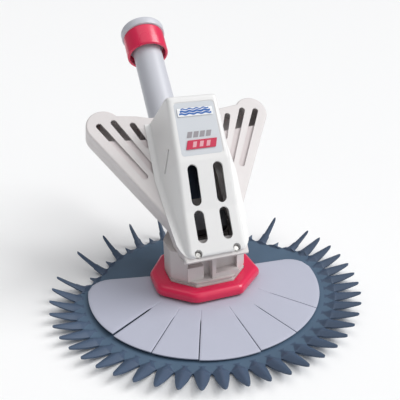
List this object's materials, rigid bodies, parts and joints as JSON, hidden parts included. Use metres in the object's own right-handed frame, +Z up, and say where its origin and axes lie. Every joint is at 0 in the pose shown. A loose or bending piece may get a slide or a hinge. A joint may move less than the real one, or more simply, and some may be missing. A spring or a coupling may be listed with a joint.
{
  "type": "pool cleaner",
  "caption": "Suction pool cleaner: slotted V body on an octagonal foot with a crimson bumper, a finned disc that turns with its cut skirt, and a 45-degree pipe with hand nut and hose cuff.",
  "frame": {"origin": "middle of the whole object's footprint, on the surface it stands on; the disc's axis is 0.0602 m in front of it", "axes": "+X across, +Y to the back, where the pipe leans, +Z up; the object is symmetric about X = 0"},
  "size_m": [0.445, 0.569, 0.3659],
  "materials": {
    "shell_plastic": "satin pearl-white moulding",
    "cover_plastic": "semi-gloss white moulding",
    "base_plastic": "satin warm grey moulding",
    "pipe_plastic": "satin light grey tube",
    "crimson_plastic": "semi-gloss crimson",
    "badge_red": "printed crimson",
    "disc_rubber": "satin slate-blue moulded rubber",
    "skirt_plastic": "pale lavender flexible sheet",
    "cassette_plastic": "blue-grey",
    "black_rubber": "matt black",
    "float_foam": "closed-cell foam",
    "coated_iron": "coated",
    "stainless_steel": "brushed",
    "printed_plate": "printed white"
  },
  "bodies": {
    "root": {"foot_pad": "black_rubber", "foot_flange": "base_plastic", "lower_housing": "base_plastic", "bumper_strap": "crimson_plastic", "body_back_shell": "shell_plastic", "body_front_shell": "shell_plastic", "front_cover": "cover_plastic", "cover_screw_left": "stainless_steel", "cover_screw_right": "stainless_steel", "neck_screw_left": "stainless_steel", "neck_screw_right": "stainless_steel", "body_screw_left_upper": "stainless_steel", "body_screw_left_middle": "stainless_steel", "body_screw_left_lower": "stainless_steel", "body_screw_right_upper": "stainless_steel", "body_screw_right_middle": "stainless_steel", "body_screw_right_lower": "stainless_steel", "left_float": "float_foam", "right_float": "float_foam", "ballast_weight": "coated_iron", "cassette_tube": "cassette_plastic", "cassette_seal": "black_rubber", "diaphragm_ring": "crimson_plastic", "diaphragm": "black_rubber", "extension_pipe": "pipe_plastic", "inner_pipe": "pipe_plastic", "pipe_seal": "black_rubber", "title_plate": "printed_plate", "badge_plate": "badge_red"},
    "disc": {"finned_disc": "disc_rubber", "disc_bush": "base_plastic", "skirt": "skirt_plastic"},
    "nut_carrier": {"compression_ring": "black_rubber"},
    "nut": {"hand_nut": "crimson_plastic"},
    "hose_swivel": {"hose_cuff": "pipe_plastic", "hose_washer": "black_rubber"}
  },
  "joints": [
    {"name": "disc_spin", "type": "hinge", "parent": "root", "child": "disc", "pos_m": [0, -0.06017, 0.0085], "axis": [0, 0, 1], "continuous": true},
    {"name": "nut_rise", "type": "slide", "parent": "root", "child": "nut_carrier", "axis": [0, 0.7071, 0.7071], "range_m": [0, 0.006]},
    {"name": "nut_turn", "type": "hinge", "parent": "nut_carrier", "child": "nut", "pos_m": [0, 0.23327, 0.31545], "axis": [0, 0.7071, 0.7071], "range_deg": [0, 360]},
    {"name": "hose_spin", "type": "hinge", "parent": "nut_carrier", "child": "hose_swivel", "pos_m": [0, 0.24742, 0.32959], "axis": [0, 0.7071, 0.7071], "continuous": true}
  ],
  "couplings": [
    {"joint": "nut_rise", "follows": "nut_turn", "m_per_rad": 0.00095493}
  ]
}
